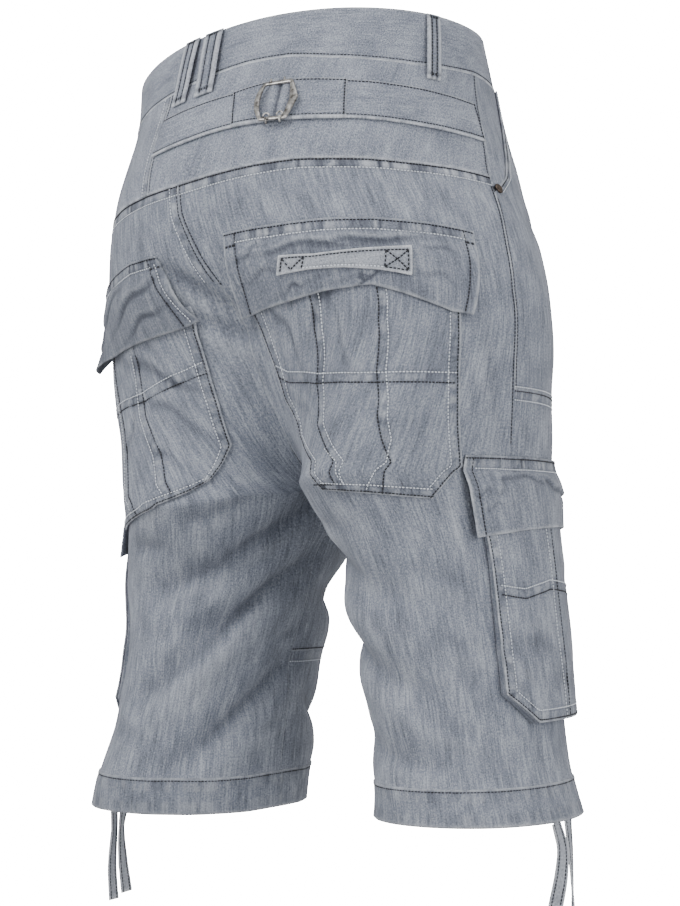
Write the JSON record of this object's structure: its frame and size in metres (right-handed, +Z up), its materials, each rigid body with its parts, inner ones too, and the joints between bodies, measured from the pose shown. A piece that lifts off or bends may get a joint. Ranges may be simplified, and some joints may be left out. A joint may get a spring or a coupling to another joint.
{
  "type": "cargo shorts",
  "caption": "Three-quarter cargo shorts in washed grey denim, in worn form, with flapped back and side pockets, a buckled back strap and hem ties.",
  "frame": {"origin": "centre of the waist opening, half way up the waistband, where the wearer's waist holds the garment", "axes": "+Z up, +Y towards the back of the garment, +X towards the wearer's left"},
  "size_m": [0.4271, 0.2995, 0.7199],
  "materials": {
    "denim": "matte washed denim",
    "denim_trim": "matte washed denim, paler",
    "denim_tape": "matte, folded strip",
    "nickel": "antique nickel",
    "dark_metal": "dark, slightly glossy"
  },
  "bodies": {
    "root": {"waistband": "denim_trim", "yoke_right": "denim_trim", "yoke_left": "denim_trim", "strap_left_tail": "denim_trim", "strap_middle": "denim_trim", "strap_right_tail": "denim_trim", "back_panel_right": "denim", "back_panel_left": "denim", "front_upper_right": "denim", "front_thigh_right": "denim", "front_knee_right": "denim", "hip_facing_right": "denim", "front_upper_left": "denim", "front_thigh_left": "denim", "front_knee_left": "denim", "hip_facing_left": "denim", "fly_flap": "denim", "hem_casing_right": "denim", "hem_casing_left": "denim", "back_pocket_right": "denim", "back_flap_right": "denim", "back_pocket_left": "denim", "back_flap_left": "denim", "cargo_pocket_right": "denim", "cargo_gusset_right": "denim", "cargo_flap_right": "denim", "cargo_pocket_left": "denim", "cargo_gusset_left": "denim", "cargo_flap_left": "denim", "belt_loop_back_left": "denim", "belt_loop_back_right": "denim", "belt_loop_side_right": "denim", "belt_loop_side_left": "denim", "belt_loop_front_right": "denim", "belt_loop_front_left": "denim", "flap_tab_right": "denim_tape", "tie_right_1": "denim_tape", "tie_right_2": "denim_tape", "tie_left_1": "denim_tape", "tie_left_2": "denim_tape", "buckle_frame": "nickel", "buckle_prong_1": "nickel", "buckle_prong_2": "nickel", "waist_button": "nickel", "rivet_right": "dark_metal", "rivet_left": "dark_metal"}
  },
  "joints": []
}
